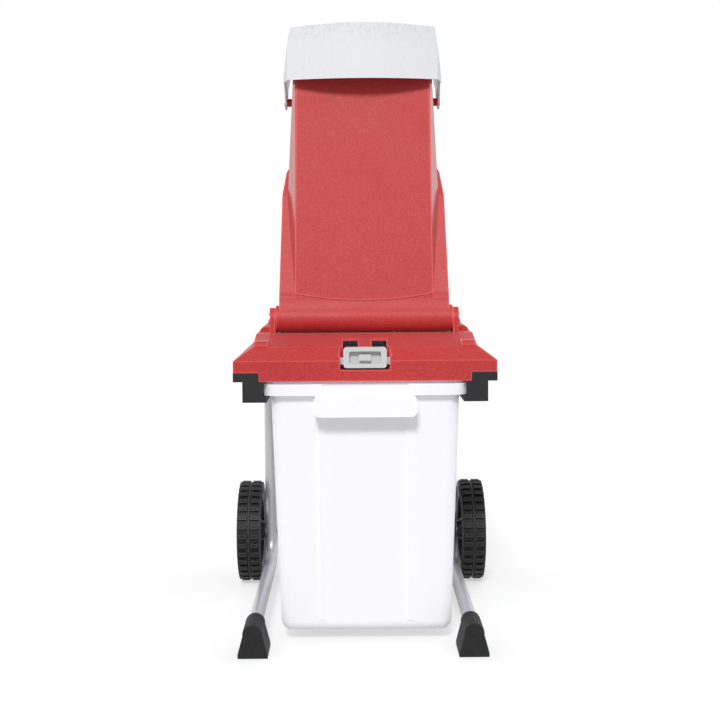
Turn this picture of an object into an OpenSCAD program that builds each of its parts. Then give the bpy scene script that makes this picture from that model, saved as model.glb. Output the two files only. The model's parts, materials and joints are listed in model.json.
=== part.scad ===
// Garden shredder: a roller-type head on a wheeled tube frame with a pull-out box.
// Millimetres, floor at z = 0, the box is drawn out towards -Y, +X is to the right.

/* [Frame] */
// tube centre, sideways from the middle
tube_x = 164; // [158:1:166]
// outer radius of the frame tube
tube_r = 11; // [9:0.5:12]
// wall of the frame tube
tube_wall = 1.5; // [1:0.1:2.5]
// centre line radius of the bend
bend_r = 44; // [36:1:50]
// height of the lower arm centre
arm_z = 36; // [34:1:38]
// upright tube and axle, back from the middle
axle_y = 180; // [178:1:184]
// cross tube radius
cross_r = 9; // [7:0.5:10]
// height of the cross tube
cross_z = 250; // [160:1:320]
// front face of the feet, forward of the middle
foot_front = 270; // [262:1:276]
// length of a foot
foot_len = 62; // [56:1:90]
// width of a foot at the floor
foot_w = 44.5; // [40:0.5:54]
// radius of the arched top of a foot
foot_arch = 15; // [14.5:0.5:18]

/* [Wheels] */
// outer radius of the tyre
wheel_r = 90; // [86:1:92]
// width of the tyre
tyre_w = 42.5; // [38:0.5:44]
// middle of the tyre, sideways
wheel_x = 200; // [199:0.5:203]
// radius of the tyre seat on the rim
seat_r = 66; // [62:1:70]
// height of the tread lugs
lug_h = 5; // [4:0.5:7]
// lugs in one row
lug_n = 34; // [26:1:38]
// spokes in the rim
spoke_n = 6; // [5:1:8]
// radius of the axle bolt
axle_r = 6; // [5:0.5:7]
// radius of the threaded end of the axle bolt
thread_r = 3.5; // [3:0.5:4]
// running clearance of the hub on its bolt
hub_gap = 0.05; // [0.02:0.01:0.1]
// radius of the hub cap
cap_r = 25; // [22:1:28]

/* [Base] */
// how far the head sits to the right of the frame
head_x = 5.5; // [0:0.5:10]
// half width of the base housing
base_half = 198.5; // [196:0.5:201]
// front of the base housing, forward of the middle
base_front = 220; // [217:1:224]
// rear of the base housing
base_rear = 205; // [202:1:208]
// underside of the base housing
base_z = 405; // [404:0.5:406]
// top edge of the skirt
ridge_z = 436; // [432:1:440]
// crease where the front bevel meets the deck
crease_z = 455; // [450:1:458]
// deck height behind the hinge
deck_z = 472; // [470:1:474]
// half width of the deck
deck_half = 171; // [169:1:173]
// wall of the red mouldings
wall = 3.5; // [3:0.1:4]
// thickness of the chassis plate
plate_t = 3; // [2.5:0.1:3]
// width of the latch recess
recess_w = 75; // [72:1:80]
// lower edge of the latch recess
recess_z = 422; // [420:1:423]

/* [Box] */
// width over the box rim
rim_w = 307; // [304:1:309]
// depth over the box rim
rim_d = 370; // [366:1:374]
// height of the rim
rim_h = 17; // [14:1:17]
// top of the box rim
rim_top = 401; // [400:0.5:402]
// width of the box below the rim
box_w = 287; // [280:1:291]
// width of the box at its floor
box_low_w = 262; // [250:1:268]
// depth of the box at its floor
box_low_d = 326; // [310:1:335]
// underside of the box
box_z = 18; // [14:1:30]
// wall of the box
box_wall = 3; // [2.5:0.1:4]
// width of the pull grip
grip_w = 154; // [120:1:170]
// height of the pull grip
grip_h = 30; // [28:1:36]
// how far the grip stands out
grip_d = 22; // [20:1:26]

/* [Rails] */
// underside of the rails
rail_z = 374; // [372:1:376]
// top of the corner block
block_z = 418.5; // [416:0.5:420]
// inner edge of the corner block
block_in = 160; // [159:0.5:162]
// outer face of the rail below the block
rail_out = 184.5; // [180:0.5:186]
// inner edge of the carrying lip
lip_in = 148; // [147:0.5:149]
// clearance between rim and rail
slide_gap = 0.6; // [0.4:0.1:0.8]

/* [Hopper] */
// hinge axis, forward of the middle
hinge_y = 115; // [113:1:117]
// height of the hinge axis above the deck
hinge_up = 22; // [21:1:24]
// radius of the hinge roll
roll_r = 21; // [19:0.5:22]
// length of the hinge roll
roll_w = 278; // [274:1:280]
// lean of the chute from upright
lean = 10; // [9:0.5:11]
// how far the foot of the chute stands back from the front of the roll
chute_set = 11; // [9:0.5:12]
// width of one slanting front corner at the mouth
corner_w = 3; // [2:0.5:5]
// width over the sides of the chute at its mouth
chute_top_w = 223; // [221:1:226]
// how far the foot of the chute stays inside the wings
chute_in = 5; // [4:0.5:7]
// depth of the slanting front corners of the chute
corner_d = 54; // [46:1:60]
// radius of the flare between chute and roll
flare_r = 55; // [50:1:60]
// depth of the chute
chute_d = 150; // [146:1:154]
// front upper edge of the chute
mouth_z = 893; // [888:1:895]
// drop of the mouth towards the back
mouth_drop = 35; // [25:1:40]
// how far the wings stay inside the ends of the roll
wing_in = 4.5; // [3:0.5:6]
// how far the wings lean in up to the shoulder
wing_lean = 4; // [3:0.5:6]
// height of the shoulders
shoulder_z = 690; // [684:1:696]
// gap between the deck and the lower edge of the hopper
skirt_gap = 8; // [7:1:10]
// half width of the throat over the drum
throat_half = 46; // [44:0.5:46]

/* [Hood] */
// room between the mouth of the chute and a side cheek
cheek_gap = 13.5; // [13:0.5:15]
// how far the lower edge of the front plate stays inside the cheeks
plate_in = 8; // [6:0.5:10]
// top of the hood
hood_top = 960; // [956:1:964]
// lower edge of the front plate
hood_low = 873; // [871:1:876]
// forward bow of the front plate
hood_bow = 22; // [12:1:26]
// wall of the hood
hood_wall = 3; // [2.5:0.1:3.5]
// height of the hood pivot
pivot_z = 847; // [845:1:849]
// radius of the pivot pin
pivot_r = 4; // [3:0.5:5]

/* [Drive] */
// drum axis, forward of the middle
drum_y = 32; // [31.5:0.5:32.5]
// height of the drum axis
drum_z = 472; // [471.5:0.5:472.5]
// radius over the drum teeth
drum_r = 50; // [46:0.5:50]
// length of the drum
drum_len = 88; // [80:1:89]
// teeth round the drum
drum_teeth = 8; // [6:1:10]
// radius of the drum shaft
shaft_r = 12; // [10:0.5:12.5]
// radial clearance of the running shafts
run_gap = 0.05; // [0.02:0.01:0.08]
// module of the slow gear pair
slow_m = 2; // [2:1:2]
// module of the fast gear pair
fast_m = 1.5; // [1.5:0.5:1.5]
// teeth of both pinions
pinion_n = 17; // [17:1:17]
// teeth of the drum gear
drum_gear_n = 54; // [54:1:54]
// teeth of the layshaft gear
lay_gear_n = 72; // [72:1:72]
// backlash at the pitch circle
backlash = 0.4; // [0.3:0.05:0.5]
// slope of the line from drum to layshaft
slow_angle = 35; // [34.5:0.5:35.5]
// slope of the line from layshaft to motor
fast_angle = 35; // [34.5:0.5:35.5]
// outer radius of the motor can
can_r = 54; // [50:1:55]
// length of the motor can
can_len = 128; // [110:1:130]
// gear casing outline radius
case_r = 62; // [61:0.5:63]
// gear casing wall
case_wall = 4; // [3:0.5:4]
// inside face of the gear casing, right of the middle
case_x = 51; // [50.5:0.5:52]
// depth of the gear casing
case_d = 52; // [51:0.5:54]
// working gap between drum and pressure plate
nip = 1.2; // [0.8:0.1:2]
// height of the adjusting screw
adjust_z = 444; // [443.5:0.5:444.5]

/* [Controls] */
// radius of the knobs
knob_r = 22; // [18:0.5:23]
// grips round a knob
knob_n = 6; // [5:1:8]
// width of the latch
latch_w = 65; // [58:1:68]
// height of the latch
latch_h = 31; // [28:1:32]
// lower edge of the latch
latch_z = 425; // [424:0.5:426]
// width of the switch box
switch_w = 84; // [76:1:90]

/* [Hidden] */

$fn = 48;
red = [0.70, 0.13, 0.13];
black = [0.06, 0.06, 0.065];
steel = [0.62, 0.63, 0.66];
silver = [0.68, 0.68, 0.72];
pale = [0.86, 0.87, 0.90];
milk = [0.93, 0.93, 0.95];
cast = [0.45, 0.46, 0.48];
big = 1200;
hinge_z = deck_z + hinge_up;
skirt_z = deck_z + skirt_gap;
wing_low = roll_w / 2 - wing_in;
wing_top = wing_low - wing_lean;
chute_foot_w = 2 * (wing_low - chute_in);
chute_w = chute_top_w - 2 * corner_w;
cheek_w = chute_top_w + 2 * (cheek_gap + hood_wall);
hood_w = cheek_w - 2 * plate_in;
panel_r = 555;
panel_turn = asin((chute_w / 2 + 0.25) / panel_r);

// gear centres from the two pairs
slow_cd = slow_m * (drum_gear_n + pinion_n) / 2;
fast_cd = fast_m * (lay_gear_n + pinion_n) / 2;
lay_y = -drum_y + slow_cd * cos(slow_angle);
lay_z = drum_z + slow_cd * sin(slow_angle);
motor_y = lay_y + fast_cd * cos(fast_angle);
motor_z = lay_z + fast_cd * sin(fast_angle);

// solids laid along one axis
module along_x(x0, x1) translate([x0, 0, 0]) rotate([90, 0, 90]) linear_extrude(x1 - x0) children();
module along_y(y0, y1) translate([0, y1, 0]) rotate([90, 0, 0]) linear_extrude(y1 - y0) children();
module x_rod(x0, x1, y, z, r) translate([x0, y, z]) rotate([0, 90, 0]) cylinder(h = x1 - x0, r = r);
module y_rod(y0, y1, x, z, r) translate([x, y1, z]) rotate([90, 0, 0]) cylinder(h = y1 - y0, r = r);
module z_rod(z0, z1, x, y, r) translate([x, y, z0]) cylinder(h = z1 - z0, r = r);
module block(x0, x1, y0, y1, z0, z1) translate([x0, y0, z0]) cube([x1 - x0, y1 - y0, z1 - z0]);
// the head and the frame under it have their own middles
module head() translate([head_x, 0, 0]) children();
module legs() translate([-head_x, 0, 0]) children();
module on_side(s) if (s < 0) mirror([1, 0, 0]) children(); else children();

// points on an arc, and a rectangle with rounded corners
function arc(cx, cy, r, a0, a1, n) = [for (i = [0:n])
  let (a = a0 + (a1 - a0) * i / n) [cx + r * cos(a), cy + r * sin(a)]];
function rounded(w, h, r) = concat(
  arc(w / 2 - r, h / 2 - r, r, 0, 90, 6), arc(r - w / 2, h / 2 - r, r, 90, 180, 6),
  arc(r - w / 2, r - h / 2, r, 180, 270, 6), arc(w / 2 - r, r - h / 2, r, 270, 360, 6));

// involute spur gear outline with a tooth centred on the angle a0
function inv(a) = tan(a) - a * PI / 180;
function half_tooth(m, n, r) = let (rb = m * n / 2 * cos(20))
  90 / n - backlash / 2 / (m * n / 2) * 180 / PI / 2 + (inv(20) - inv(acos(min(1, rb / r)))) * 180 / PI;
function gear_outline(m, n, a0) = let (
    rp = m * n / 2, ra = rp + m, rf = rp - 1.25 * m, rb = rp * cos(20),
    hf = half_tooth(m, n, max(rf, rb)), hp = half_tooth(m, n, rp), ha = half_tooth(m, n, ra))
  [for (i = [0:n - 1], k = [[rf, -hf], [rp, -hp], [ra, -ha], [ra, ha], [rp, hp], [rf, hf]])
    let (a = a0 + 360 * i / n + k[1]) [k[0] * cos(a), k[0] * sin(a)]];

// Frame
tube_top = base_z + plate_t + 30;
bend_z = arm_z + bend_r;
screw_z = base_z + 18;
module tube_path(r) {
  translate([tube_x, axle_y, bend_z]) cylinder(h = tube_top - bend_z, r = r);
  translate([tube_x, axle_y - bend_r, bend_z]) rotate([90, 0, 90]) rotate([0, 0, -90])
    rotate_extrude(angle = 90) translate([bend_r, 0]) circle(r);
  y_rod(8 - foot_front, axle_y - bend_r, tube_x, arm_z, r);
}
module frame_tube(s) color(silver) on_side(s) difference() {
  tube_path(tube_r);
  tube_path(tube_r - tube_wall);
  x_rod(tube_x - 20, tube_x + 20, axle_y, wheel_r, thread_r);
  y_rod(axle_y, axle_y + 20, tube_x, screw_z, 3);
}
module rear_cross_tube() color(silver) difference() {
  x_rod(-tube_x, tube_x, axle_y, cross_z, cross_r);
  x_rod(-tube_x, tube_x, axle_y, cross_z, cross_r - tube_wall);
  for (s = [-1, 1]) z_rod(cross_z - 20, cross_z + 20, s * tube_x, axle_y, tube_r);
}
module foot(s) color(black) on_side(s) difference() {
  along_y(-foot_front, foot_len - foot_front) translate([tube_x, 0])
    polygon(concat([[-foot_w / 2, 0], [foot_w / 2, 0], [foot_w / 2, 6]],
      arc(0, arm_z, foot_arch, -8, 188, 14), [[-foot_w / 2, 6]]));
  y_rod(8 - foot_front, foot_len, tube_x, arm_z, tube_r);
}
module tube_screws() color(steel) for (s = [-1, 1]) on_side(s) {
  y_rod(axle_y + 7, base_rear, tube_x, screw_z, 3);
  y_rod(base_rear, base_rear + 4, tube_x, screw_z, 6);
}

// Axles and wheels
hub_in = tube_x + tube_r + 0.6;
rim_face = wheel_x + tyre_w / 2 - 10.5;
cap_face = wheel_x + tyre_w / 2;
nut_h = 5;
nut_in = tube_x - tube_r - nut_h;
module round_axle(x) translate([x, axle_y, wheel_r]) rotate([0, 90, 0]) children();
module axle_bolts() color(steel) for (s = [-1, 1]) on_side(s) {
  x_rod(nut_in - 2, tube_x + tube_r, axle_y, wheel_r, thread_r);
  x_rod(tube_x + tube_r, rim_face + 0.4, axle_y, wheel_r, axle_r);
  x_rod(rim_face + 0.4, rim_face + 5, axle_y, wheel_r, axle_r + 4);
}
module axle_nuts() color(steel) for (s = [-1, 1]) on_side(s) round_axle(nut_in) difference() {
  cylinder(h = nut_h, r = 1.8 * thread_r, $fn = 6);
  translate([0, 0, -1]) cylinder(h = nut_h + 2, r = thread_r);
}
module wheel_rim(s) color(black) on_side(s) round_axle(0) difference() {
  rotate_extrude() polygon([
    [axle_r + hub_gap, hub_in], [13, hub_in], [24, wheel_x - 11], [27, wheel_x - 4], [seat_r - 8, wheel_x - 4],
    [seat_r - 8, wheel_x - tyre_w / 2 + 3], [seat_r, wheel_x - tyre_w / 2 + 1],
    [seat_r, wheel_x + tyre_w / 2 - 1], [seat_r - 8, wheel_x + tyre_w / 2 - 3],
    [seat_r - 8, wheel_x + 2], [cap_r + 1, wheel_x + 2], [cap_r, rim_face], [axle_r + hub_gap, rim_face]]);
  for (i = [0:spoke_n - 1]) rotate([0, 0, i * 360 / spoke_n])
    rotate_extrude(angle = 360 / spoke_n - 20) translate([33, wheel_x - 10]) square([seat_r - 44, 20]);
}
module lug_ring(top, x0, x1) translate([0, 0, x0]) linear_extrude(x1 - x0) difference() {
  polygon([for (i = [0:lug_n - 1], k = [[-0.27, 0], [-0.22, 1], [0.22, 1], [0.27, 0]])
    let (a = (i + k[0]) * 360 / lug_n, r = wheel_r - lug_h + k[1] * (lug_h - top)) [r * cos(a), r * sin(a)]]);
  circle(seat_r + 6);
}
module tyre(s) color(black) on_side(s) round_axle(0) {
  rotate_extrude() translate([0, wheel_x]) polygon([
    [seat_r, 1 - tyre_w / 2], [seat_r, tyre_w / 2 - 1], [seat_r + 5, tyre_w / 2], [wheel_r - 11, tyre_w / 2],
    [wheel_r - lug_h - 0.6, tyre_w / 2 - 6], [wheel_r - lug_h - 0.6, 2.4], [wheel_r - 2.5, 1.6],
    [wheel_r - 2.5, -1.6], [wheel_r - lug_h - 0.6, -2.4], [wheel_r - lug_h - 0.6, 6 - tyre_w / 2],
    [wheel_r - 11, -tyre_w / 2], [seat_r + 5, -tyre_w / 2]]);
  for (m = [0, 1]) translate([0, 0, wheel_x]) mirror([0, 0, m]) {
    lug_ring(0, 3.5, tyre_w / 2 - 5);
    lug_ring(2.2, tyre_w / 2 - 5, tyre_w / 2 - 1);
  }
}
module hub_cap(s) color(black) on_side(s) round_axle(0) rotate_extrude() polygon([
  [axle_r + 6.5, rim_face], [cap_r, rim_face], [cap_r, cap_face - 3.5], [cap_r - 4, cap_face],
  [0, cap_face], [0, cap_face - 3], [axle_r + 6.5, cap_face - 3]]);

// Base
ear_in = roll_w / 2 + 0.6;
ear_out = ear_in + 9;
pin_r = 6;
notch_y = rim_d - base_front + 4;
recess_y = -base_front + 26;
function base_front_view(t) = [
  [t - base_half, base_z - sign(t)], [base_half - t, base_z - sign(t)], [base_half - t, ridge_z - 0.4 * t],
  [deck_half - 0.5 * t, crease_z - t], [deck_half - 2 - t, deck_z - t],
  [t + 2 - deck_half, deck_z - t], [0.5 * t - deck_half, crease_z - t], [t - base_half, ridge_z - 0.4 * t]];
function base_side_view(t) = [
  [t - base_front, base_z - sign(t)], [t - base_front, ridge_z - 0.4 * t],
  [24 + 0.5 * t - base_front, crease_z - t],
  [-hinge_y - roll_r - 2, deck_z - t], [base_rear - 8 - t, deck_z - t],
  [base_rear - t, deck_z - 10 - t], [base_rear - t, base_z - sign(t)]];
module base_form(t) intersection() {
  along_x(-big / 2, big / 2) polygon(base_side_view(t));
  along_y(-big / 2, big / 2) polygon(base_front_view(t));
}
module base_housing() color(red) head() difference() {
  union() {
    difference() {
      base_form(0);
      base_form(wall);
    }
    // pocket walls behind the latch
    intersection() {
      base_form(0);
      block(-recess_w / 2 - 3, recess_w / 2 + 3, -base_front, recess_y + 3, recess_z - 3, deck_z);
    }
    // raised shoulders beside the hopper
    for (s = [-1, 1]) on_side(s) along_y(-hinge_y + 15, base_rear - 15)
      translate([ear_out + 8, deck_z - 0.5]) polygon(concat(arc(0, 0, 10, 0, 180, 12)));
    // small steps at the front corners of the deck
    for (s = [-1, 1]) on_side(s) along_x(deck_half - 24, deck_half - 3) polygon([
      [-base_front + 23, crease_z - 3], [-base_front + 23, crease_z + 3], [-base_front + 32, crease_z + 9],
      [-base_front + 60, crease_z + 9], [-base_front + 60, crease_z - 3]]);
    // hinge ears
    for (s = [-1, 1]) on_side(s) {
      x_rod(ear_in, ear_out, -hinge_y, hinge_z, 17.5);
      block(ear_in, ear_out, -hinge_y - 17.5, -hinge_y + 17.5, deck_z - wall, hinge_z);
    }
    // sockets for the tubes
    intersection() {
      base_form(0);
      legs() for (s = [-1, 1]) on_side(s) {
        z_rod(base_z + plate_t, deck_z, tube_x, axle_y, tube_r + 4);
        block(tube_x - 8, tube_x + 8, axle_y, base_rear, screw_z - 9, screw_z + 9);
      }
    }
    // lug for the lock screw
    along_y(base_rear - 2, lock_y) polygon([[-14, deck_z - 10], [14, deck_z - 10], [14, lock_z], [-14, lock_z]]);
    z_rod(deck_z - 10, lock_z, 0, lock_y, 14);
  }
  // latch recess with its two windows and the slot for the latch tail
  block(-recess_w / 2, recess_w / 2, -base_front - 1, recess_y, recess_z, deck_z + 5);
  for (s = [-1, 1]) on_side(s) block(10.5, recess_w / 2 - 4, recess_y - 2, recess_y + 33, crease_z - 6, deck_z);
  block(-tail_half - 1, tail_half + 1, recess_y - 1, recess_y + 4, latch_z + 3, latch_z + 27);
  // side grooves that guide the latch
  for (s = [-1, 1]) on_side(s)
    block(recess_w / 2 - 1, recess_w / 2 + 2, latch_back - 5.4, latch_back + 0.4, latch_z + 4, latch_z + 28);
  // room for the drive and for the roll
  block(bearing_x - 3, case_x + case_d + 12, -hinge_y + 8, motor_y + 12, base_z + 20, deck_z + 1);
  x_rod(-roll_w / 2 - 0.6, roll_w / 2 + 0.6, -hinge_y, hinge_z, roll_r + 0.8);
  // corner notches for the rails
  for (s = [-1, 1]) on_side(s) block(block_in, base_half + 1, -base_front - 1, notch_y, base_z - 1, block_z);
  // holes for tubes, screws, hinge pins, lock and adjusting screw
  legs() for (s = [-1, 1]) on_side(s) {
    z_rod(base_z - 1, tube_top, tube_x, axle_y, tube_r);
    y_rod(axle_y, base_rear + 1, tube_x, screw_z, 3);
  }
  for (s = [-1, 1]) on_side(s) x_rod(ear_in - 1, ear_out + 1, -hinge_y, hinge_z, pin_r);
  z_rod(deck_z - 20, lock_z + 1, 0, lock_y, lock_r + 1.2);
  y_rod(base_rear - 10, base_rear + 1, 0, adjust_z, adjust_r + 0.5);
}
module chassis_plate() color(steel) head() difference() {
  union() {
    block(-block_in, block_in, wall - base_front, base_rear - wall, base_z, base_z + plate_t);
    block(wall - base_half, base_half - wall, notch_y, base_rear - wall, base_z, base_z + plate_t);
  }
  block(-throat_half, throat_half, -drum_y - drum_r - 4, -drum_y + drum_r + 4, base_z - 1, base_z + plate_t + 1);
  for (s = [-1, 1]) {
    legs() on_side(s) z_rod(base_z - 1, base_z + plate_t + 1, tube_x, axle_y, tube_r);
    on_side(s) for (y = rail_screw_y) z_rod(base_z - 1, base_z + plate_t + 1, rail_screw_x, y, 2.5);
  }
}
module hinge_pins() color(steel) head() for (s = [-1, 1]) on_side(s) {
  x_rod(ear_in - 22, ear_out, -hinge_y, hinge_z, pin_r);
  x_rod(ear_out, ear_out + 2.5, -hinge_y, hinge_z, pin_r + 3);
}

// Box and rails
rim_front = -base_front - 2;
rim_mid = rim_front + rim_d / 2;
rim_z = rim_top - rim_h;
lip_top = rim_z + 2;
rib_z = rim_z - grip_h - 4;
rail_screw_x = (lip_in + block_in) / 2;
rail_screw_y = [-180, -20, 130];
rail_web = 2.5;
module box_rail(s) color(black) head() on_side(s) difference() {
  along_y(rim_front, notch_y) polygon([
    [lip_in, rail_z], [rail_out, rail_z], [rail_out, base_z], [base_half, base_z], [base_half, block_z],
    [block_in, block_z], [block_in, base_z], [lip_in, base_z], [lip_in, base_z - rail_web],
    [rim_w / 2 + slide_gap, base_z - rail_web], [rim_w / 2 + slide_gap, rim_z - slide_gap],
    [lip_in, rim_z - slide_gap]]);
  for (y = rail_screw_y) z_rod(base_z - rail_web, base_z + 1, rail_screw_x, y, 2.5);
}
module rail_screws() color(steel) head() for (s = [-1, 1], y = rail_screw_y) on_side(s) {
  z_rod(base_z - rail_web, base_z + plate_t, rail_screw_x, y, 2.5);
  z_rod(base_z + plate_t, base_z + plate_t + 3, rail_screw_x, y, 5);
}
module box_form(t) hull() {
  for (sx = [-1, 1], sy = [-1, 1]) {
    translate([sx * (box_low_w / 2 - 16), rim_mid + sy * (box_low_d / 2 - 16), box_z + 16])
      sphere(16 - t, $fn = 24);
    translate([sx * (box_w / 2 - 18), rim_mid + sy * (rim_d / 2 - 31), rim_z])
      cylinder(h = 1 + t * rim_h, r = 18 - t, $fn = 24);
  }
}
module collection_box() color(milk) head() difference() {
  union() {
    box_form(0);
    translate([0, rim_mid, rim_z]) linear_extrude(rim_h) polygon(rounded(rim_w, rim_d, 20));
    // grip: a deep lip below the rim and a narrower brow over it
    along_y(rim_front - grip_d, rim_front + 16) translate([0, lip_top - (grip_h + 2) / 2])
      polygon(rounded(grip_w, grip_h + 2, 9));
    along_y(rim_front - grip_d + 5, rim_front + 16) translate([0, rim_top - (rim_h + grip_h / 2) / 2])
      polygon(rounded(grip_w - 18, rim_h + grip_h / 2, 6));
    // two ribs down the front
    for (s = [-1, 1]) on_side(s) along_x(62, 72) polygon([
      [rim_mid - rim_d / 2 + 11.5, rib_z], [rim_mid - box_low_d / 2 - 2, box_z + 18],
      [rim_mid - box_low_d / 2 + 4, box_z + 14], [rim_mid - rim_d / 2 + 18, rib_z]]);
  }
  box_form(box_wall);
  block(3 - grip_w / 2, grip_w / 2 - 3, rim_front - grip_d + 3.5, rim_front + 11,
    rim_z - grip_h - 1, lip_top - 3.5);
}

// Latch and interlock
tail_half = 5;
latch_front = 1 - base_front;
latch_back = recess_y - 12;
module box_latch() color(pale) head() difference() {
  union() {
    along_y(latch_front, latch_back) translate([0, latch_z + latch_h / 2]) polygon(rounded(latch_w, latch_h, 5));
    block(-recess_w / 2 - 1.5, recess_w / 2 + 1.5, latch_back - 5, latch_back, latch_z + 5, latch_z + 15);
    block(-tail_half, tail_half, latch_back - 1, recess_y + 20, latch_z + 5, latch_z + 11);
  }
  difference() {
    along_y(latch_front - 1, latch_back - 3) translate([0, latch_z + latch_h / 2])
      polygon(rounded(latch_w - 17, latch_h - 12, 3));
    block(-9, 9, latch_front + 3, latch_back, latch_z + 11, latch_z + 20);
  }
}
module interlock_switch() color(black) head() {
  block(-13, 13, recess_y + 6, recess_y + 28, base_z + plate_t, latch_z - 1);
  z_rod(latch_z - 1, latch_z + 4.4, 0, recess_y + 16, 2.5);
}

// Hopper
throat_z = drum_z + drum_r + 4;
slope_y = chute_d / cos(lean);
foot_z = hinge_z + 30;
lock_y = base_rear + 17;
lock_z = deck_z + 12;
lock_r = 4;
seam_y = 100;
flare_z = foot_z + 2;
flare_y = chute_y(flare_z);
flare_end = 33;
funnel_z = throat_z + 79;
function chute_y(z) = chute_set - hinge_y - roll_r + (z - foot_z) * tan(lean);
function chute_half(z) = (chute_top_w + (chute_foot_w - chute_top_w) * (mouth_z - z) / (mouth_z - foot_z)) / 2;
function mouth_line(y) = mouth_z - mouth_drop * (y - chute_y(mouth_z)) / slope_y;
pivot_y = chute_y(pivot_z) + slope_y / 2;
pivot_in = chute_half(pivot_z) - wall;
module leaning() translate([0, chute_y(foot_z), foot_z]) rotate([-lean, 0, 0]) children();
module chute_prism(t) intersection() {
  leaning() translate([0, 0, -120]) linear_extrude(720) polygon([
    [t - chute_w / 2, t], [chute_w / 2 - t, t], [chute_foot_w / 2 + 2 - t, corner_d + t],
    [chute_foot_w / 2 + 2 - t, chute_d - t], [t - 2 - chute_foot_w / 2, chute_d - t],
    [t - 2 - chute_foot_w / 2, corner_d + t]]);
  along_y(-big / 2, big / 2) polygon([[t - chute_half(300), 300], [chute_half(300) - t, 300],
    [chute_half(big) - t, big], [t - chute_half(big), big]]);
}
// the back of the duct steps in over the motor
function duct_back(t) = [
  [chute_y(600) + slope_y + 6 - t, 600], [38 - drum_y - t, throat_z + 44],
  [48 - drum_y - t, throat_z - sign(t) * 30]];
module chute_out(t) intersection() {
  chute_prism(t);
  along_x(-big / 2, big / 2) polygon(concat(
    [[-hinge_y - 1, hinge_z + 7], [flare_y + 6, flare_z], [-hinge_y - 40, flare_z],
      [-hinge_y - 40, mouth_line(-hinge_y - 40)],
      [160, mouth_line(160)], [160, 640]], duct_back(0), [[-drum_y - drum_r - 3, throat_z]]));
}
module duct(t) intersection() {
  chute_prism(t);
  along_x(-big / 2, big / 2) polygon(concat(
    [[-drum_y - drum_r - 3 + t, throat_z - sign(t) * 30], [-drum_y - drum_r - 3 + t, throat_z],
      [-150 + t, throat_z + 82], [-150, big], [160, big], [160, 640]], duct_back(t)));
  along_y(-big / 2, big / 2) let (low = throat_half + wall - t, high = wing_low - 9.5 - t) polygon([
    [-low, 0], [low, 0], [low, funnel_z], [high, funnel_z + 75], [high, big], [-high, big],
    [-high, funnel_z + 75], [-low, funnel_z]]);
}
module shroud(t) intersection() {
  along_x(-big / 2, big / 2) polygon([
    [-hinge_y - 8 + t, skirt_z - sign(t) * 20], [flare_y + 0.3 + t, flare_z], [flare_y + 2.4 + t, flare_z + 10],
    [-63 + t, shoulder_z], [-42 + t, shoulder_z + 38],
    [-22 + t, shoulder_z + 56 - t], [70 - t, shoulder_z + 56 - t], [base_rear - 17 - t, skirt_z + 80],
    [base_rear - 10 - t, skirt_z - sign(t) * 20]]);
  along_y(-big / 2, big / 2) polygon([
    [t - wing_low, skirt_z - sign(t) * 20], [wing_low - t, skirt_z - sign(t) * 20], [wing_top - t, shoulder_z],
    [wing_top - 6 - t, shoulder_z + 38], [wing_top - 16 - t, shoulder_z + 57],
    [t + 16 - wing_top, shoulder_z + 57], [t + 6 - wing_top, shoulder_z + 38], [t - wing_top, shoulder_z]]);
}
// curved wall that runs from the chute and the wings into the roll
module flare() along_x(1 - wing_low, wing_low - 1) polygon(concat(
  arc(flare_y - flare_r * cos(lean), flare_z + flare_r * sin(lean), flare_r, -lean, -flare_end, 8),
  [[-hinge_y, hinge_z]],
  arc(flare_y - flare_r * cos(lean), flare_z + flare_r * sin(lean), flare_r + wall, -flare_end, -lean, 8),
  [[flare_y + 2.6, flare_z + 3], [flare_y + 0.8, flare_z + 3]]));
boss_at = [[wing_low - 10, foot_z + 12], [wing_top - 9, shoulder_z - 24]];
function seam_at(z) = chute_y(z) + seam_y / cos(lean);
module hopper_form() difference() {
  union() {
    difference() {
      union() {
        chute_out(0);
        shroud(0);
      }
      difference() {
        union() {
          chute_out(wall);
          shroud(wall);
        }
        duct(0);
      }
    }
    x_rod(-roll_w / 2, roll_w / 2, -hinge_y, hinge_z, roll_r);
    flare();
    // raised front panel with its curved lower edge
    leaning() rotate([90, 0, 0]) translate([0, 0, -1]) linear_extrude(2.4) polygon(concat(
      arc(0, panel_r - 1, panel_r, 270 - panel_turn, 270 + panel_turn, 16),
      [[chute_w / 2 - 2, (mouth_z - foot_z) / cos(lean) - 6],
      [2 - chute_w / 2, (mouth_z - foot_z) / cos(lean) - 6]]));
    // screw bosses across the seam
    for (s = [-1, 1], b = boss_at) on_side(s) intersection() {
      shroud(0);
      y_rod(seam_at(b[1]) - 24, base_rear, b[0], b[1], 7);
    }
    // hood pivot bosses
    for (s = [-1, 1]) on_side(s) x_rod(pivot_in, cheek_w / 2 - hood_wall - 0.6, pivot_y, pivot_z, pivot_r + 2.5);
    // lug over the lock screw
    block(-14, 14, base_rear - 14, lock_y, lock_z + 0.3, lock_z + 10);
    z_rod(lock_z + 0.3, lock_z + 10, 0, lock_y, 14);
  }
  duct(wall);
  x_rod(-roll_w / 2 + 26, roll_w / 2 - 26, -hinge_y, hinge_z, roll_r - wall);
  for (s = [-1, 1]) on_side(s) {
    x_rod(roll_w / 2 - 22, roll_w / 2 + 1, -hinge_y, hinge_z, pin_r + run_gap);
    x_rod(pivot_in - 9, cheek_w / 2, pivot_y, pivot_z, pivot_r);
    for (b = boss_at) {
      y_rod(seam_at(b[1]) + 9, base_rear + 1, b[0], b[1], 4.5);
      y_rod(seam_at(b[1]) - 18, base_rear, b[0], b[1], 2);
    }
  }
  z_rod(lock_z - 1, lock_z + 11, 0, lock_y, lock_r + run_gap);
}
module hopper_front() color(red) head() intersection() {
  hopper_form();
  leaning() translate([-300, -200, -200]) cube([600, 200 + seam_y, 900]);
}
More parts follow.
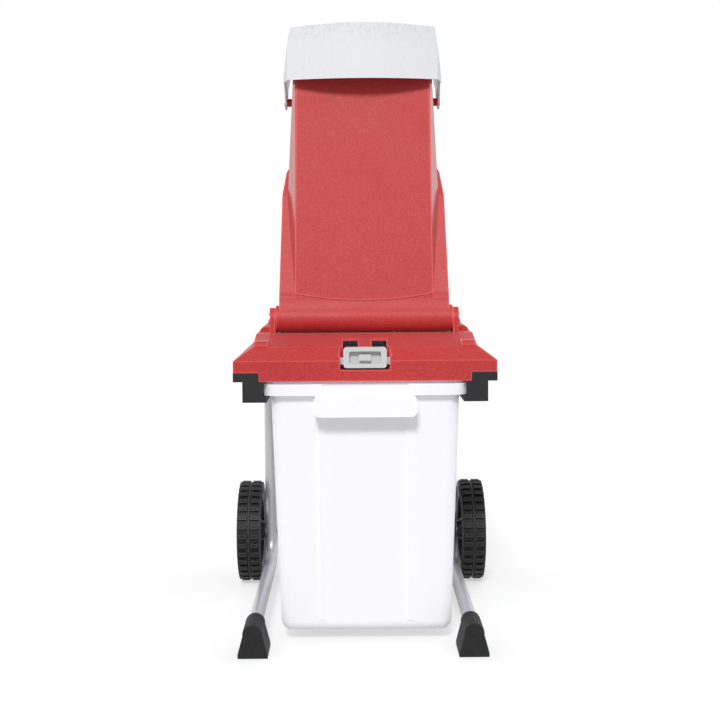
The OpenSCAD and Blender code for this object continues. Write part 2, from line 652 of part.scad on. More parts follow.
module hopper_rear() color(red) head() intersection() {
  hopper_form();
  leaning() translate([-300, seam_y, -200]) cube([600, 400, 900]);
}
module hopper_screws() color(steel) head() for (s = [-1, 1], b = boss_at) on_side(s) {
  y_rod(seam_at(b[1]) - 16, seam_at(b[1]) + 9, b[0], b[1], 2);
  y_rod(seam_at(b[1]) + 9, seam_at(b[1]) + 12, b[0], b[1], 4);
}
module hood_pivots() color(steel) head() for (s = [-1, 1]) on_side(s) {
  x_rod(pivot_in, cheek_w / 2 + 0.4, pivot_y, pivot_z, pivot_r);
  x_rod(cheek_w / 2 + 0.4, cheek_w / 2 + 1.8, pivot_y, pivot_z, pivot_r + 1.5);
}

// Hood
hood_y = chute_y(hood_low) - 15;
hood_arc = (hood_w * hood_w / 4 + hood_bow * hood_bow) / (2 * hood_bow);
hood_top_half = hood_w / 2 - 3.5;
function hood_turn(t) = asin((hood_w / 2 - t) / (hood_arc - t));
module hood_form(t) intersection() {
  // seen from the side: roof, front plate and the cheek that narrows to the pivot
  along_x(-big / 2, big / 2) polygon([
    [-200, hood_low - sign(t)], [-200, hood_top + 20], [pivot_y + 56 + 20 * sign(t), hood_top + 20],
    [pivot_y + 74 + 20 * sign(t), hood_low + 12], [pivot_y + 12 + 40 * sign(t), pivot_z - 5 - 30 * sign(t)],
    [pivot_y, pivot_z - 12 - 30 * sign(t)], [pivot_y - 12 - 80 * sign(t), pivot_z - 5 - 30 * sign(t)],
    [pivot_y - 28 - 60 * sign(t), hood_low - sign(t)]]);
  // seen from the front: sides lean in towards a low arched top
  along_y(-big / 2, big / 2) polygon(concat(
    [[t - cheek_w / 2, 0], [cheek_w / 2 - t, 0], [cheek_w / 2 - t, hood_low + 7]],
    arc(hood_top_half - 6, hood_top - 10, 6 - t, 0, 80, 5), [[30, hood_top - t], [-30, hood_top - t]],
    arc(6 - hood_top_half, hood_top - 10, 6 - t, 100, 180, 5), [[t - cheek_w / 2, hood_low + 7]]));
  // seen from above: bowed front, sides that widen to the cheeks
  linear_extrude(big) polygon(concat(
    arc(0, hood_y - hood_bow + hood_arc, hood_arc - t, 270 - hood_turn(t), 270 + hood_turn(t), 16),
    [[cheek_w / 2 - t, hood_y + 34], [cheek_w / 2 - t, 200],
    [t - cheek_w / 2, 200], [t - cheek_w / 2, hood_y + 34]]));
}
module hopper_hood() color(pale) head() difference() {
  hood_form(0);
  hood_form(hood_wall);
  for (s = [-1, 1]) on_side(s) x_rod(cheek_w / 2 - 10, cheek_w / 2 + 1, pivot_y, pivot_z, pivot_r + run_gap);
}

// Knobs
module knob(h, r) difference() {
  cylinder(h = h, r = r);
  for (i = [0:knob_n - 1]) rotate([0, 0, i * 360 / knob_n]) translate([r + 5, 0, -1]) cylinder(h = h + 2, r = 8);
}
module lock_knob() color(black) head() {
  translate([0, lock_y, lock_z + 10.3]) knob(20, knob_r);
  z_rod(deck_z - 8, lock_z + 12, 0, lock_y, lock_r);
}

// Drum and its shaft
drum_side = drum_len / 2;
bearing_w = 12;
bearing_r = 22;
bearing_x = -drum_side - 6 - bearing_w;
gear_x = case_x + bearing_w + 3;
gear_w = 16;
shaft_end = gear_x + gear_w + 2;
module crushing_drum() color(cast) head() translate([0, -drum_y, drum_z]) rotate([90, 0, 90]) difference() {
  translate([0, 0, -drum_side]) linear_extrude(drum_len) difference() {
    polygon([for (i = [0:drum_teeth - 1], k = [[0, -10], [4, 0], [14, -1.5], [30, -10]])
      let (a = i * 360 / drum_teeth + k[0], r = drum_r + k[1]) [r * cos(a), r * sin(a)]]);
    circle(shaft_r);
  }
  for (i = [-1.5:1.5]) translate([0, 0, i * drum_len / 5 - 2]) difference() {
    cylinder(h = 4, r = drum_r + 5);
    translate([0, 0, -1]) cylinder(h = 6, r = drum_r - 12);
  }
}
module drum_shaft() color(steel) head() x_rod(bearing_x, shaft_end, -drum_y, drum_z, shaft_r);
module spur(x0, x1, y, z, m, n, a0, bore)
  translate([x0, y, z]) rotate([90, 0, 90]) linear_extrude(x1 - x0) difference() {
  polygon(gear_outline(m, n, a0));
  circle(bore);
}
module drum_gear() color(steel) head()
  spur(gear_x, gear_x + gear_w, -drum_y, drum_z, slow_m, drum_gear_n, slow_angle, shaft_r);
module ring(x0, x1, y, z, r_in, r_out) difference() {
  x_rod(x0, x1, y, z, r_out);
  x_rod(x0 - 1, x1 + 1, y, z, r_in);
}
module drum_bearings() color(steel) head() {
  ring(bearing_x, bearing_x + bearing_w, -drum_y, drum_z, shaft_r + run_gap, bearing_r);
  ring(case_x, case_x + bearing_w, -drum_y, drum_z, shaft_r + run_gap, bearing_r);
}
module bearing_block() color(cast) head() difference() {
  union() {
    x_rod(bearing_x, bearing_x + bearing_w, -drum_y, drum_z, bearing_r + 7);
    block(bearing_x, bearing_x + bearing_w, -drum_y - 29, -drum_y + 29, base_z + plate_t, drum_z);
    block(bearing_x - 16, bearing_x + bearing_w, -drum_y - 29, -drum_y + 29, base_z + plate_t, base_z + plate_t + 6);
  }
  x_rod(bearing_x - 1, bearing_x + bearing_w + 1, -drum_y, drum_z, bearing_r);
}

// Gearbox
lay_r = 8;
rotor_r = 7;
small_r = 15;
small_w = 10;
fast_x = gear_x + gear_w + 4;
fast_w = 10;
cover_t = 4;
cover_x = case_x + case_d;
lug_out = case_r + 2;
lug_at = [for (a = [125, 215, 305]) [-drum_y + lug_out * cos(a), drum_z + lug_out * sin(a)],
          for (a = [305, 35, 125]) [motor_y + lug_out * cos(a), motor_z + lug_out * sin(a)]];
module strip(ay, az, by, bz, r) {
  translate([ay, az]) rotate(atan2(bz - az, by - ay)) translate([0, -r]) square([norm([by - ay, bz - az]), 2 * r]);
  translate([ay, az]) circle(r);
  translate([by, bz]) circle(r);
}
module case_outline(r) {
  strip(-drum_y, drum_z, lay_y, lay_z, r);
  strip(lay_y, lay_z, motor_y, motor_z, r);
}
module gearbox_casing() color(cast) head() difference() {
  union() {
    difference() {
      union() {
        along_x(case_x, cover_x) case_outline(case_r);
        for (p = lug_at) x_rod(cover_x - 18, cover_x, p[0], p[1], 6.5);
        block(case_x, cover_x, -drum_y - 30, -drum_y + 30, base_z + plate_t, drum_z - 20);
      }
      along_x(case_x + case_wall, cover_x + 1) case_outline(case_r - case_wall);
    }
    x_rod(case_x, case_x + bearing_w, -drum_y, drum_z, bearing_r + 5);
    x_rod(case_x, case_x + small_w, lay_y, lay_z, small_r + 4);
    x_rod(case_x, case_x + small_w, motor_y, motor_z, small_r + 4);
  }
  x_rod(case_x - 1, case_x + bearing_w + 1, -drum_y, drum_z, bearing_r);
  x_rod(case_x - 1, case_x + small_w + 1, lay_y, lay_z, small_r);
  x_rod(case_x - 1, case_x + small_w + 1, motor_y, motor_z, small_r);
  for (p = lug_at) x_rod(cover_x - 16, cover_x + 1, p[0], p[1], 2.5);
}
module gearbox_cover() color(cast) head() difference() {
  union() {
    along_x(cover_x, cover_x + cover_t) case_outline(case_r);
    for (p = lug_at) x_rod(cover_x, cover_x + cover_t, p[0], p[1], 6.5);
    x_rod(cover_x + cover_t - small_w, cover_x + cover_t, lay_y, lay_z, small_r + 4);
  }
  x_rod(cover_x - small_w, cover_x + cover_t + 1, lay_y, lay_z, small_r);
  for (p = lug_at) x_rod(cover_x - 1, cover_x + cover_t + 1, p[0], p[1], 2.5);
}
module gearbox_screws() color(steel) head() for (p = lug_at) {
  x_rod(cover_x - 14, cover_x + cover_t, p[0], p[1], 2.5);
  x_rod(cover_x + cover_t, cover_x + cover_t + 3, p[0], p[1], 5);
}
module layshaft() color(steel) head() {
  x_rod(case_x, cover_x + cover_t, lay_y, lay_z, lay_r);
  spur(gear_x - 1, gear_x + gear_w + 1, lay_y, lay_z, slow_m, pinion_n,
    slow_angle + 180 + 180 / pinion_n, lay_r - 1);
}
module layshaft_gear() color(steel) head()
  spur(fast_x, fast_x + fast_w, lay_y, lay_z, fast_m, lay_gear_n, fast_angle, lay_r);
module layshaft_bearings() color(steel) head() {
  ring(case_x, case_x + small_w, lay_y, lay_z, lay_r + run_gap, small_r);
  ring(cover_x + cover_t - small_w, cover_x + cover_t, lay_y, lay_z, lay_r + run_gap, small_r);
}

// Motor
can_x = case_x - can_len;
core_r = 30;
core_x = can_x + 32;
core_w = can_len - 58;
cap_t = 6;
module motor_can() color(steel) head() ring(can_x, case_x, motor_y, motor_z, can_r - 3, can_r);
module motor_end_cap() color(black) head() difference() {
  union() {
    x_rod(can_x - cap_t, can_x, motor_y, motor_z, can_r);
    x_rod(can_x - cap_t, can_x + 5, motor_y, motor_z, small_r + 4);
  }
  x_rod(can_x - cap_t - 1, can_x + 6, motor_y, motor_z, small_r);
  for (i = [0:5]) translate([can_x - cap_t - 1, motor_y, motor_z]) rotate([90, 0, 90]) rotate([0, 0, i * 60])
    rotate_extrude(angle = 40) translate([can_r - 26, 0]) square([18, cap_t + 2]);
}
module motor_stator() color(cast) head() ring(core_x, core_x + core_w, motor_y, motor_z, core_r + 0.5, can_r - 3);
module motor_rotor() color(steel) head() {
  x_rod(can_x - cap_t, fast_x + fast_w + 1, motor_y, motor_z, rotor_r);
  x_rod(core_x, core_x + core_w, motor_y, motor_z, core_r);
  spur(fast_x - 1, fast_x + fast_w + 1, motor_y, motor_z, fast_m, pinion_n,
    fast_angle + 180 + 180 / pinion_n, rotor_r - 1);
}
module cooling_fan() color(black) head() difference() {
  union() {
    x_rod(can_x + 9, can_x + 22, motor_y, motor_z, 13);
    x_rod(can_x + 20, can_x + 22, motor_y, motor_z, can_r - 10);
    for (i = [0:7]) translate([can_x + 9, motor_y, motor_z]) rotate([i * 45, 0, 0])
      translate([0, -1, 0]) cube([12, 2, can_r - 10]);
  }
  x_rod(can_x, can_x + 30, motor_y, motor_z, rotor_r);
}
module rotor_bearings() color(steel) head() {
  ring(case_x, case_x + small_w, motor_y, motor_z, rotor_r + run_gap, small_r);
  ring(can_x - cap_t, can_x + 5, motor_y, motor_z, rotor_r + run_gap, small_r);
}

// Pressure plate and its adjuster
adjust_r = 5;
plate_half = drum_side + 0.6;
plate_back = 64 - drum_y;
guide_y = plate_back + 30;
module pressure_plate() color(cast) head() difference() {
  union() {
    along_x(-plate_half, plate_half) polygon(concat(arc(-drum_y, drum_z, drum_r + nip, -48, 22, 12),
      [[plate_back, drum_z + 19], [plate_back, drum_z - 38]]));
    y_rod(plate_back, plate_back + 18, 0, adjust_z, adjust_r + 4);
  }
  y_rod(plate_back - 13, plate_back + 20, 0, adjust_z, adjust_r + run_gap);
}
module plate_guide() color(steel) head() difference() {
  union() {
    for (s = [-1, 1]) on_side(s)
      block(plate_half + 0.4, plate_half + 4.4, plate_back - 26, guide_y + 8, base_z + plate_t, drum_z + 14);
    block(-plate_half - 1, plate_half + 1, guide_y, guide_y + 8, base_z + plate_t, adjust_z + 16);
  }
  y_rod(guide_y - 1, guide_y + 9, 0, adjust_z, adjust_r + run_gap);
}
module adjusting_screw() color(steel) head() y_rod(plate_back - 4, base_rear + 14, 0, adjust_z, adjust_r);
module adjusting_knob() color(black) head() translate([0, base_rear + 22, adjust_z]) rotate([90, 0, 0]) difference() {
  knob(20, knob_r - 6);
  translate([0, 0, 8]) cylinder(h = 20, r = adjust_r);
}

// Switch box, inlet, capacitor
switch_x = 36;
switch_y = base_rear + 33;
switch_low = base_z + 7;
switch_top = deck_z - 11;
button_r = 10;
button_z = (switch_low + switch_top) / 2;
module switch_box() color(black) head() difference() {
  block(switch_x, switch_x + switch_w, base_rear, switch_y, switch_low, switch_top);
  block(switch_x + 3, switch_x + switch_w - 3, base_rear - 1, switch_y - 3, switch_low + 3, switch_top - 3);
  for (x = [0.3, 0.7]) y_rod(switch_y - 5, switch_y + 1, switch_x + x * switch_w, button_z, button_r + 0.4);
}
module button(x) {
  y_rod(switch_y - 6, switch_y + 4, switch_x + x * switch_w, button_z, button_r);
  y_rod(switch_y - 6, switch_y - 3.6, switch_x + x * switch_w, button_z, button_r + 2.5);
}
module start_button() color([0.1, 0.45, 0.2]) head() button(0.3);
module stop_button() color([0.65, 0.08, 0.08]) head() button(0.7);
module mains_inlet() color(black) head() translate([switch_x + switch_w, base_rear + 16, button_z]) rotate([0, 90, 0]) {
  difference() {
    cylinder(h = 24, r = 13);
    translate([0, 0, 4]) cylinder(h = 30, r = 10.5);
  }
  for (i = [0:2]) rotate([0, 0, i * 120]) translate([5, 0, 3]) cylinder(h = 15, r = 1.6);
}
module capacitor() color(pale) head() {
  y_rod(60, 130, -110, base_z + plate_t + 17, 17);
  block(-124, -96, 85, 100, base_z + plate_t, base_z + plate_t + 12);
}

frame_tube(-1);  // frame_tube_left
frame_tube(1);  // frame_tube_right
rear_cross_tube();
foot(-1);  // foot_left
foot(1);  // foot_right
axle_bolts();
axle_nuts();
wheel_rim(-1);  // wheel_rim_left
wheel_rim(1);  // wheel_rim_right
tyre(-1);  // tyre_left
tyre(1);  // tyre_right
hub_cap(-1);  // hub_cap_left
hub_cap(1);  // hub_cap_right
base_housing();
chassis_plate();
box_rail(-1);  // box_rail_left
box_rail(1);  // box_rail_right
rail_screws();
tube_screws();
hinge_pins();
collection_box();
box_latch();
hopper_front();
hopper_rear();
hopper_screws();
hood_pivots();
hopper_hood();
lock_knob();
crushing_drum();
drum_shaft();
drum_gear();
drum_bearings();
bearing_block();
gearbox_casing();
gearbox_cover();
gearbox_screws();
layshaft();
layshaft_gear();
layshaft_bearings();
motor_can();
motor_end_cap();
motor_stator();
motor_rotor();
cooling_fan();
rotor_bearings();
pressure_plate();
plate_guide();
adjusting_screw();
adjusting_knob();
switch_box();
start_button();
stop_button();
mains_inlet();
capacitor();
interlock_switch();
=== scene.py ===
"""Looks of the garden shredder: finishes, edge rounding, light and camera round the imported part."""
import json
import math

import bpy
from mathutils import Euler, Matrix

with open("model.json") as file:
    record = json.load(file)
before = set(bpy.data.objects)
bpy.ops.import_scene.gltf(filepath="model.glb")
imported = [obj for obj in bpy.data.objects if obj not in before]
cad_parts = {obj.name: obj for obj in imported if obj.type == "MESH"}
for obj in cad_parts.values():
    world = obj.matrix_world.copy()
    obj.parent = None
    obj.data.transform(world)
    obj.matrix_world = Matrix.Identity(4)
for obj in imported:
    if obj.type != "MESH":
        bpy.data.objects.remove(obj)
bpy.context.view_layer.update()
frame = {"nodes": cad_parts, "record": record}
NODES = frame["nodes"]

# Linear colours of the finishes, each with a paler tone for its tone drift and speckle, which is
# lifted further for the painted highlight on its edges
RED, RED_PALE = (0.435, 0.020, 0.020), (0.535, 0.046, 0.044)
BLACK, BLACK_PALE = (0.008, 0.008, 0.009), (0.022, 0.022, 0.023)
TYRE, TYRE_PALE = (0.006, 0.006, 0.007), (0.016, 0.016, 0.016)
GREY, GREY_PALE = (0.75, 0.76, 0.79), (0.80, 0.81, 0.83)
DULL, DULL_PALE = (0.56, 0.555, 0.56), (0.63, 0.62, 0.62)
MILK, MILK_PALE = (0.94, 0.935, 0.96), (0.96, 0.955, 0.975)
SILVER, SILVER_PALE = (0.47, 0.47, 0.50), (0.55, 0.55, 0.58)
ZINC, ZINC_PALE = (0.58, 0.59, 0.61), (0.70, 0.70, 0.71)
IRON, IRON_PALE = (0.11, 0.11, 0.115), (0.24, 0.24, 0.25)
ALLOY, ALLOY_PALE = (0.42, 0.43, 0.45), (0.55, 0.56, 0.57)
OILED, OILED_PALE = (0.33, 0.33, 0.34), (0.48, 0.47, 0.45)
GREEN, GREEN_PALE = (0.02, 0.24, 0.06), (0.05, 0.34, 0.11)
STOP, STOP_PALE = (0.42, 0.015, 0.015), (0.54, 0.05, 0.05)
GRIME = (0.5, 0.5, 0.51)

# Noise patterns: scale per metre, or as a share of the finish's own grain, and detail
BROAD_SCALE, BROAD_DETAIL = 7.0, 4.0
SPECKLE_SHARE, SPECKLE_DETAIL = 0.4, 2.0
GRIT_SHARE, GRIT_DETAIL = 0.45, 6.0
PATCH_SCALE, PATCH_DETAIL = 210.0, 6.0
GRAIN_DETAIL = 3.0

# Where each pattern starts and ends, and how much it does at most
DRIFT_SPAN = (0.35, 0.65, 0.0, 0.35)
SPECKLE_FROM = (0.42, 0.66)
GRIT_SPAN = (0.64, 0.74, 0.0, 0.35)
PATCH_FROM = (0.42, 0.66)
UNEVEN_FROM, UNEVEN_BY = (0.3, 0.7), 0.06
GRAIN_STRENGTH = 0.35
SHEEN_ROUGHNESS = 0.35

# Grime gathers towards the top of a piece: share of its height, and amount
GRIME_SPAN = (0.72, 1.0, 0.0, 0.42)

# Painted highlight along an outer edge: reach in metres, rays, openness at which it starts, and how
# pale it is
EDGE_REACH = 0.0022
EDGE_RAYS = 8
EDGE_START = 0.97
EDGE_GAIN, EDGE_LIFT = 1.3, 0.04

# Normals of the polished flanks: across, and to the front
FLANK_ACROSS = (0.82, 0.94, 0.0, 1.0)
FLANK_FORWARD = (-0.015, -0.05, 0.0, 1.0)

# Sockets of the Mix node, which has a set of them for each kind of data
COLOUR_INPUTS, COLOUR_OUTPUT = (6, 7), 2
VALUE_INPUTS, VALUE_OUTPUT = (2, 3), 0


class Tree:
    """Short forms for building a node material."""

    def __init__(self, name):
        self.mat = bpy.data.materials.new(name)
        self.mat.use_nodes = True
        self.tree = self.mat.node_tree
        self.tree.nodes.clear()
        self.out = self.add("ShaderNodeOutputMaterial")
        self.shader = self.add("ShaderNodeBsdfPrincipled")
        self.link(self.shader, "BSDF", self.out, "Surface")
        self.coords = self.add("ShaderNodeTexCoord")

    def add(self, kind):
        return self.tree.nodes.new(kind)

    def link(self, a, a_socket, b, b_socket):
        self.tree.links.new(a.outputs[a_socket], b.inputs[b_socket])

    def set(self, socket, value):
        self.shader.inputs[socket].default_value = value

    def axes(self, coordinate):
        """The three numbers of a texture coordinate."""
        node = self.add("ShaderNodeSeparateXYZ")
        self.link(self.coords, coordinate, node, "Vector")
        return node

    def noise(self, scale, detail, stretch=None):
        node = self.add("ShaderNodeTexNoise")
        node.inputs["Scale"].default_value = scale
        node.inputs["Detail"].default_value = detail
        if stretch:
            mapping = self.add("ShaderNodeMapping")
            mapping.inputs["Scale"].default_value = stretch
            self.link(self.coords, "Object", mapping, "Vector")
            self.link(mapping, "Vector", node, "Vector")
        else:
            self.link(self.coords, "Object", node, "Vector")
        return node

    def span(self, source, socket, low, high, to_low, to_high):
        """A number carried over from low..high to to_low..to_high."""
        node = self.add("ShaderNodeMapRange")
        limits = {"From Min": low, "From Max": high, "To Min": to_low, "To Max": to_high}
        for name, value in limits.items():
            node.inputs[name].default_value = value
        self.link(source, socket, node, "Value")
        return node

    def mix(self, factor, first, second):
        """A colour between first and second, each a colour or another mix."""
        node = self.add("ShaderNodeMix")
        node.data_type = "RGBA"
        self.link(factor, "Result", node, "Factor")
        for socket, value in zip(COLOUR_INPUTS, (first, second)):
            if isinstance(value, tuple):
                node.inputs[socket].default_value = (*value, 1.0)
            else:
                self.link(value, COLOUR_OUTPUT, node, socket)
        return node

    def blend_value(self, factor, first, second):
        """A number between first and second, where first may be a socket."""
        node = self.add("ShaderNodeMix")
        node.data_type = "FLOAT"
        self.link(factor, "Value", node, "Factor")
        first_input, second_input = (node.inputs[socket] for socket in VALUE_INPUTS)
        if isinstance(first, float):
            first_input.default_value = first
        else:
            self.tree.links.new(first, first_input)
        second_input.default_value = second
        return node

    def edge(self, most, soft):
        """Mask of the painted highlight on the outer edges: where short rays sent inwards soon come
        out again.
        """
        shell = self.add("ShaderNodeAmbientOcclusion")
        shell.inside = True
        shell.only_local = True
        shell.samples = EDGE_RAYS
        shell.inputs["Distance"].default_value = EDGE_REACH
        return self.span(shell, "AO", EDGE_START, soft, 0.0, most)

    def flank(self):
        """Mask of the faces that look out to the left or right and a little to the front."""
        normal = self.axes("Normal")
        across = self.add("ShaderNodeMath")
        across.operation = "ABSOLUTE"
        self.link(normal, "X", across, 0)
        both = self.add("ShaderNodeMath")
        both.operation = "MULTIPLY"
        self.link(self.span(across, "Value", *FLANK_ACROSS), "Result", both, 0)
        self.link(self.span(normal, "Y", *FLANK_FORWARD), "Result", both, 1)
        return both

    def grime(self, toned, dust, grain):
        """Specks all over, and a patchy film towards the top of the piece."""
        grit = self.noise(grain * GRIT_SHARE, GRIT_DETAIL)
        specked = self.mix(self.span(grit, "Fac", *GRIT_SPAN), toned, dust)
        patches = self.span(self.noise(PATCH_SCALE, PATCH_DETAIL), "Fac", *PATCH_FROM, 0.0, 0.0)
        height = self.span(self.axes("Generated"), "Z", *GRIME_SPAN)
        self.link(height, "Result", patches, "To Max")
        return self.mix(patches, specked, dust)

    def bump(self, source, strength, depth):
        node = self.add("ShaderNodeBump")
        node.inputs["Strength"].default_value = strength
        node.inputs["Distance"].default_value = depth
        self.link(source, "Fac", node, "Height")
        self.link(node, "Normal", self.shader, "Normal")
        return node


def finish(name, base, pale, rough, grain, depth, metal=0.0, stretch=None, coat=0.0,
           edge_highlight=0.25, soft=0.6, gloss=0.5, sheen=0.0, speck=0.35, sides=None, dust=None):
    """A moulded or metal finish: tone drift, fine speckle, a painted highlight on the edges, uneven
    gloss and grain.

    rough is the roughness, grain the scale of the surface grain per metre and depth its height in
    metres. scuff and soft are the strength and width of the painted highlight on the outer edges,
    speck the strength of the speckle, sides the roughness of polished flanks and dust the colour of
    grime.
    """
    t = Tree(name)
    broad = t.noise(BROAD_SCALE, BROAD_DETAIL)
    speckle = t.noise(grain * SPECKLE_SHARE, SPECKLE_DETAIL)
    fine = t.noise(grain, GRAIN_DETAIL, stretch)
    tone = t.mix(t.span(broad, "Fac", *DRIFT_SPAN), base, pale)
    toned = t.mix(t.span(speckle, "Fac", *SPECKLE_FROM, 0.0, speck), tone, pale)
    if dust:
        toned = t.grime(toned, dust, grain)
    # Painted highlight: the outer edges are mixed towards a paler colour, which stands in for the
    # light caught on rounded edges
    edge_pale = tuple(min(1.0, c * EDGE_GAIN + EDGE_LIFT) for c in pale)
    edge_lit = t.mix(t.edge(edge_highlight, soft), toned, edge_pale)
    t.link(edge_lit, COLOUR_OUTPUT, t.shader, "Base Color")
    uneven = t.span(broad, "Fac", *UNEVEN_FROM, rough - UNEVEN_BY, rough + UNEVEN_BY)
    grained = t.bump(fine, GRAIN_STRENGTH, depth)
    t.set("Coat Weight", coat)
    if sides is None:
        t.link(uneven, "Result", t.shader, "Roughness")
    else:
        flank = t.flank()
        polished = t.blend_value(flank, uneven.outputs["Result"], sides)
        t.link(polished, VALUE_OUTPUT, t.shader, "Roughness")
        t.link(t.blend_value(flank, GRAIN_STRENGTH, 0.0), VALUE_OUTPUT, grained, "Strength")
        t.link(flank, "Value", t.shader, "Coat Weight")
        t.set("Coat Roughness", sides)
    t.set("Metallic", metal)
    t.set("Specular IOR Level", gloss)
    t.set("Sheen Weight", sheen)
    t.set("Sheen Roughness", SHEEN_ROUGHNESS)
    return t


# The box: colour of the light that comes through, its share, and a faint painted glow that stands in
# for light scattered inside the thin walls and lifts the shade on the box
THROUGH, THROUGH_SHARE = (0.95, 0.95, 0.98, 1.0), 0.22
BOX_GLOW, BOX_GLOW_STRENGTH = (0.98, 0.98, 1.0, 1.0), 0.08


def milk(name):
    """Thin white moulding that lets a little light through, with a painted glow that lightens its
    shaded parts.
    """
    t = finish(name, MILK, MILK_PALE, 0.42, 500.0, 0.0002, edge_highlight=1.0, soft=0.8)
    # Painted glow: a weak emission that lifts the box's shaded parts, in place of light scattered
    # through the walls
    t.set("Emission Color", BOX_GLOW)
    t.set("Emission Strength", BOX_GLOW_STRENGTH)
    through = t.add("ShaderNodeBsdfTranslucent")
    through.inputs["Color"].default_value = THROUGH
    blend = t.add("ShaderNodeMixShader")
    blend.inputs["Fac"].default_value = THROUGH_SHARE
    t.link(t.shader, "BSDF", blend, 1)
    t.link(through, "BSDF", blend, 2)
    t.link(blend, "Shader", t.out, "Surface")
    return t


# Brushing of turned and drawn metal: the grain is squeezed across the lie of the marks
BRUSHED_LONG, BRUSHED_ROUND = (1.0, 8.0, 8.0), (8.0, 1.0, 1.0)

FINISHES = {
    "red_plastic": finish("red_plastic", RED, RED_PALE, 0.50, 900.0, 0.0005, edge_highlight=0.8, soft=0.82,
                          gloss=0.38, sheen=0.3, speck=0.75, sides=0.14),
    "black_plastic": finish("black_plastic", BLACK, BLACK_PALE, 0.50, 900.0, 0.0004, gloss=0.3),
    "black_rubber": finish("black_rubber", BLACK, BLACK_PALE, 0.62, 700.0, 0.0005, gloss=0.25),
    "tyre": finish("tyre", TYRE, TYRE_PALE, 0.55, 600.0, 0.0004, edge_highlight=0.6, soft=0.8, gloss=0.25),
    "grey_plastic": finish("grey_plastic", GREY, GREY_PALE, 0.40, 700.0, 0.0003, edge_highlight=0.1,
                           dust=GRIME),
    "milk_plastic": milk("milk_plastic"),
    "tube_silver": finish("tube_silver", SILVER, SILVER_PALE, 0.36, 1200.0, 0.0002, metal=0.4),
    "zinc_steel": finish("zinc_steel", ZINC, ZINC_PALE, 0.32, 500.0, 0.0002, metal=1.0,
                         stretch=BRUSHED_LONG),
    "drum_iron": finish("drum_iron", IRON, IRON_PALE, 0.55, 350.0, 0.0006, metal=0.8),
    "gear_steel": finish("gear_steel", OILED, OILED_PALE, 0.30, 600.0, 0.0002, metal=1.0,
                         stretch=BRUSHED_ROUND),
    "cast_alloy": finish("cast_alloy", ALLOY, ALLOY_PALE, 0.50, 400.0, 0.0006, metal=0.9),
    "green_plastic": finish("green_plastic", GREEN, GREEN_PALE, 0.30, 900.0, 0.0002, coat=0.2),
    "stop_red_plastic": finish("stop_red_plastic", STOP, STOP_PALE, 0.30, 900.0, 0.0002, coat=0.2),
}
SLOT_OF = {s["node"]: s["material_slot"] for s in frame["record"]["subparts"]}
# Nodes that get a darker grey finish of their own
OWN_FINISH = {"box_latch": finish("grey_plastic_dull", DULL, DULL_PALE, 0.45, 700.0, 0.0003, edge_highlight=0.2)}

# Rounding of the sharp edges, in metres, with steps for the visible pieces and one for the others
EDGE = {"red_plastic": 0.0022, "milk_plastic": 0.0020, "grey_plastic": 0.0012,
        "black_plastic": 0.0010, "black_rubber": 0.0030, "tyre": 0.0009}
EDGE_OTHER = 0.0004
EDGE_STEPS = 3
SHARP_FROM = math.radians(32)
NORMAL_WEIGHT = 100


def dress(name, piece):
    """Gives a node its finish, a rounded edge and even shading."""
    slot = SLOT_OF[name]
    piece.data.materials.clear()
    piece.data.materials.append(OWN_FINISH.get(name, FINISHES[slot]).mat)
    bevel = piece.modifiers.new("edge", "BEVEL")
    bevel.width = EDGE.get(slot, EDGE_OTHER)
    bevel.segments = EDGE_STEPS if slot in EDGE else 1
    bevel.limit_method = "ANGLE"
    bevel.angle_limit = SHARP_FROM
    bevel.use_clamp_overlap = True
    normals = piece.modifiers.new("normals", "WEIGHTED_NORMAL")
    normals.mode = "FACE_AREA_WITH_ANGLE"
    normals.weight = NORMAL_WEIGHT
    normals.keep_sharp = False


for node_name, node_piece in NODES.items():
    dress(node_name, node_piece)


def direct_view(tree):
    """1 for what is seen straight on, in a mirror or through glass, 0 for what lights the object."""
    path = tree.nodes.new("ShaderNodeLightPath")
    total = path.outputs["Is Camera Ray"]
    for name in ("Is Glossy Ray", "Is Transmission Ray"):
        either = tree.nodes.new("ShaderNodeMath")
        either.operation = "MAXIMUM"
        tree.links.new(total, either.inputs[0])
        tree.links.new(path.outputs[name], either.inputs[1])
        total = either.outputs[0]
    return total


# Floor: half its width and a hair of clearance under the feet, in metres, then its finish
FLOOR_HALF, FLOOR_DROP = 9.0, 0.0004
FLOOR_TONE = (0.52, 0.52, 0.52, 1.0)
FLOOR_ROUGHNESS, FLOOR_GLOSS = 0.6, 0.1
FLOOR_GLOW_COLOUR, FLOOR_GLOW = (1.0, 1.0, 1.0, 1.0), 0.50

floor_mesh = bpy.data.meshes.new("floor")
floor_mesh.from_pydata([(-FLOOR_HALF, -FLOOR_HALF, 0), (FLOOR_HALF, -FLOOR_HALF, 0),
                        (FLOOR_HALF, FLOOR_HALF, 0), (-FLOOR_HALF, FLOOR_HALF, 0)],
                       [], [(0, 1, 2, 3)])
floor = bpy.data.objects.new("floor", floor_mesh)
floor.location.z = -FLOOR_DROP
bpy.context.collection.objects.link(floor)
floor_tree = Tree("floor")
floor_tree.set("Base Color", FLOOR_TONE)
floor_tree.set("Roughness", FLOOR_ROUGHNESS)
floor_tree.set("Specular IOR Level", FLOOR_GLOSS)
floor_tree.set("Emission Color", FLOOR_GLOW_COLOUR)
floor_glow = floor_tree.add("ShaderNodeMath")
floor_glow.operation = "MULTIPLY"
floor_tree.tree.links.new(direct_view(floor_tree.tree), floor_glow.inputs[0])
floor_glow.inputs[1].default_value = FLOOR_GLOW
floor_tree.link(floor_glow, "Value", floor_tree.shader, "Emission Strength")
floor_mesh.materials.append(floor_tree.mat)


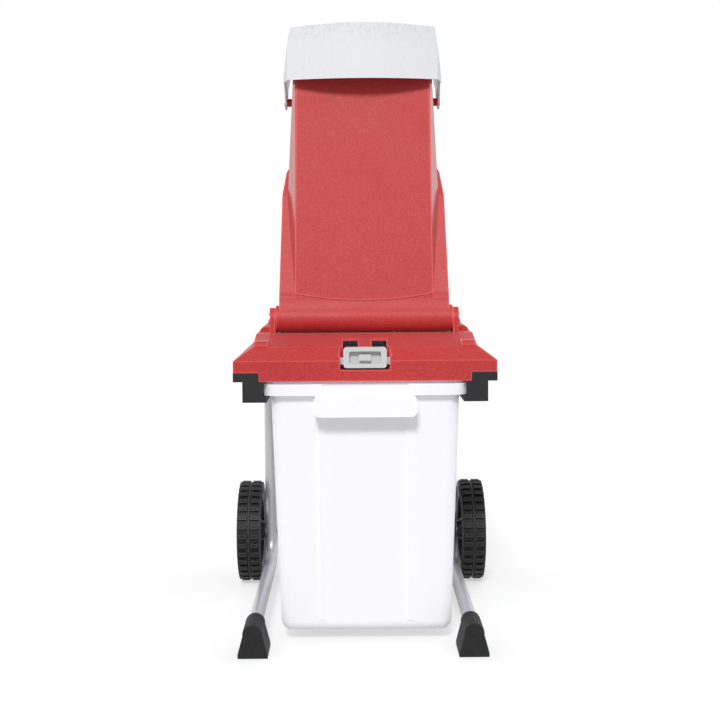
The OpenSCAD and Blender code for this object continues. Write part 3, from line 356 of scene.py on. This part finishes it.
def sun(name, turn, height, spread, strength):
    """An even soft light from far off, in degrees: turn is the way round from the front."""
    data = bpy.data.lights.new(name, "SUN")
    data.angle = math.radians(spread)
    data.energy = strength
    light = bpy.data.objects.new(name, data)
    light.rotation_euler = Euler((math.radians(90 - height), 0.0, math.radians(turn)))
    bpy.context.collection.objects.link(light)


sun("key", turn=-6, height=38, spread=12, strength=2.1)
sun("left", turn=-100, height=10, spread=30, strength=0.5)
sun("right", turn=100, height=10, spread=30, strength=0.5)

# World: white where it is seen, softer where it lights the object
SEEN_COLOUR, SEEN_STRENGTH = (1.0, 1.0, 1.0, 1.0), 1.0
LIT_COLOUR, LIT_STRENGTH = (0.97, 0.98, 1.0, 1.0), 0.51

world = bpy.data.worlds.new("studio")
bpy.context.scene.world = world
world.use_nodes = True
sky = world.node_tree
sky.nodes.clear()
choose = sky.nodes.new("ShaderNodeMixShader")
sky.links.new(direct_view(sky), choose.inputs[0])
for place, colour, strength in ((1, LIT_COLOUR, LIT_STRENGTH), (2, SEEN_COLOUR, SEEN_STRENGTH)):
    background = sky.nodes.new("ShaderNodeBackground")
    background.inputs["Color"].default_value = colour
    background.inputs["Strength"].default_value = strength
    sky.links.new(background.outputs[0], choose.inputs[place])
sky_out = sky.nodes.new("ShaderNodeOutputWorld")
sky.links.new(choose.outputs[0], sky_out.inputs["Surface"])

# Camera: millimetres, pixels of the picture, metres and degrees
LENS, SENSOR = 62.0, 36.0
SHIFT_PIXELS, PICTURE_PIXELS = -45.0, 720
CAMERA_AT = (-0.0118, -2.0724, 0.6022)
CAMERA_TURN = (86.988, 0.374, -0.331)

camera_data = bpy.data.cameras.new("camera")
camera_data.lens = LENS
camera_data.sensor_width = SENSOR
camera_data.shift_y = SHIFT_PIXELS / PICTURE_PIXELS
camera = bpy.data.objects.new("camera", camera_data)
camera.location = CAMERA_AT
camera.rotation_euler = Euler([math.radians(angle) for angle in CAMERA_TURN])
bpy.context.collection.objects.link(camera)
bpy.context.scene.camera = camera
bpy.context.scene.view_settings.view_transform = "Standard"
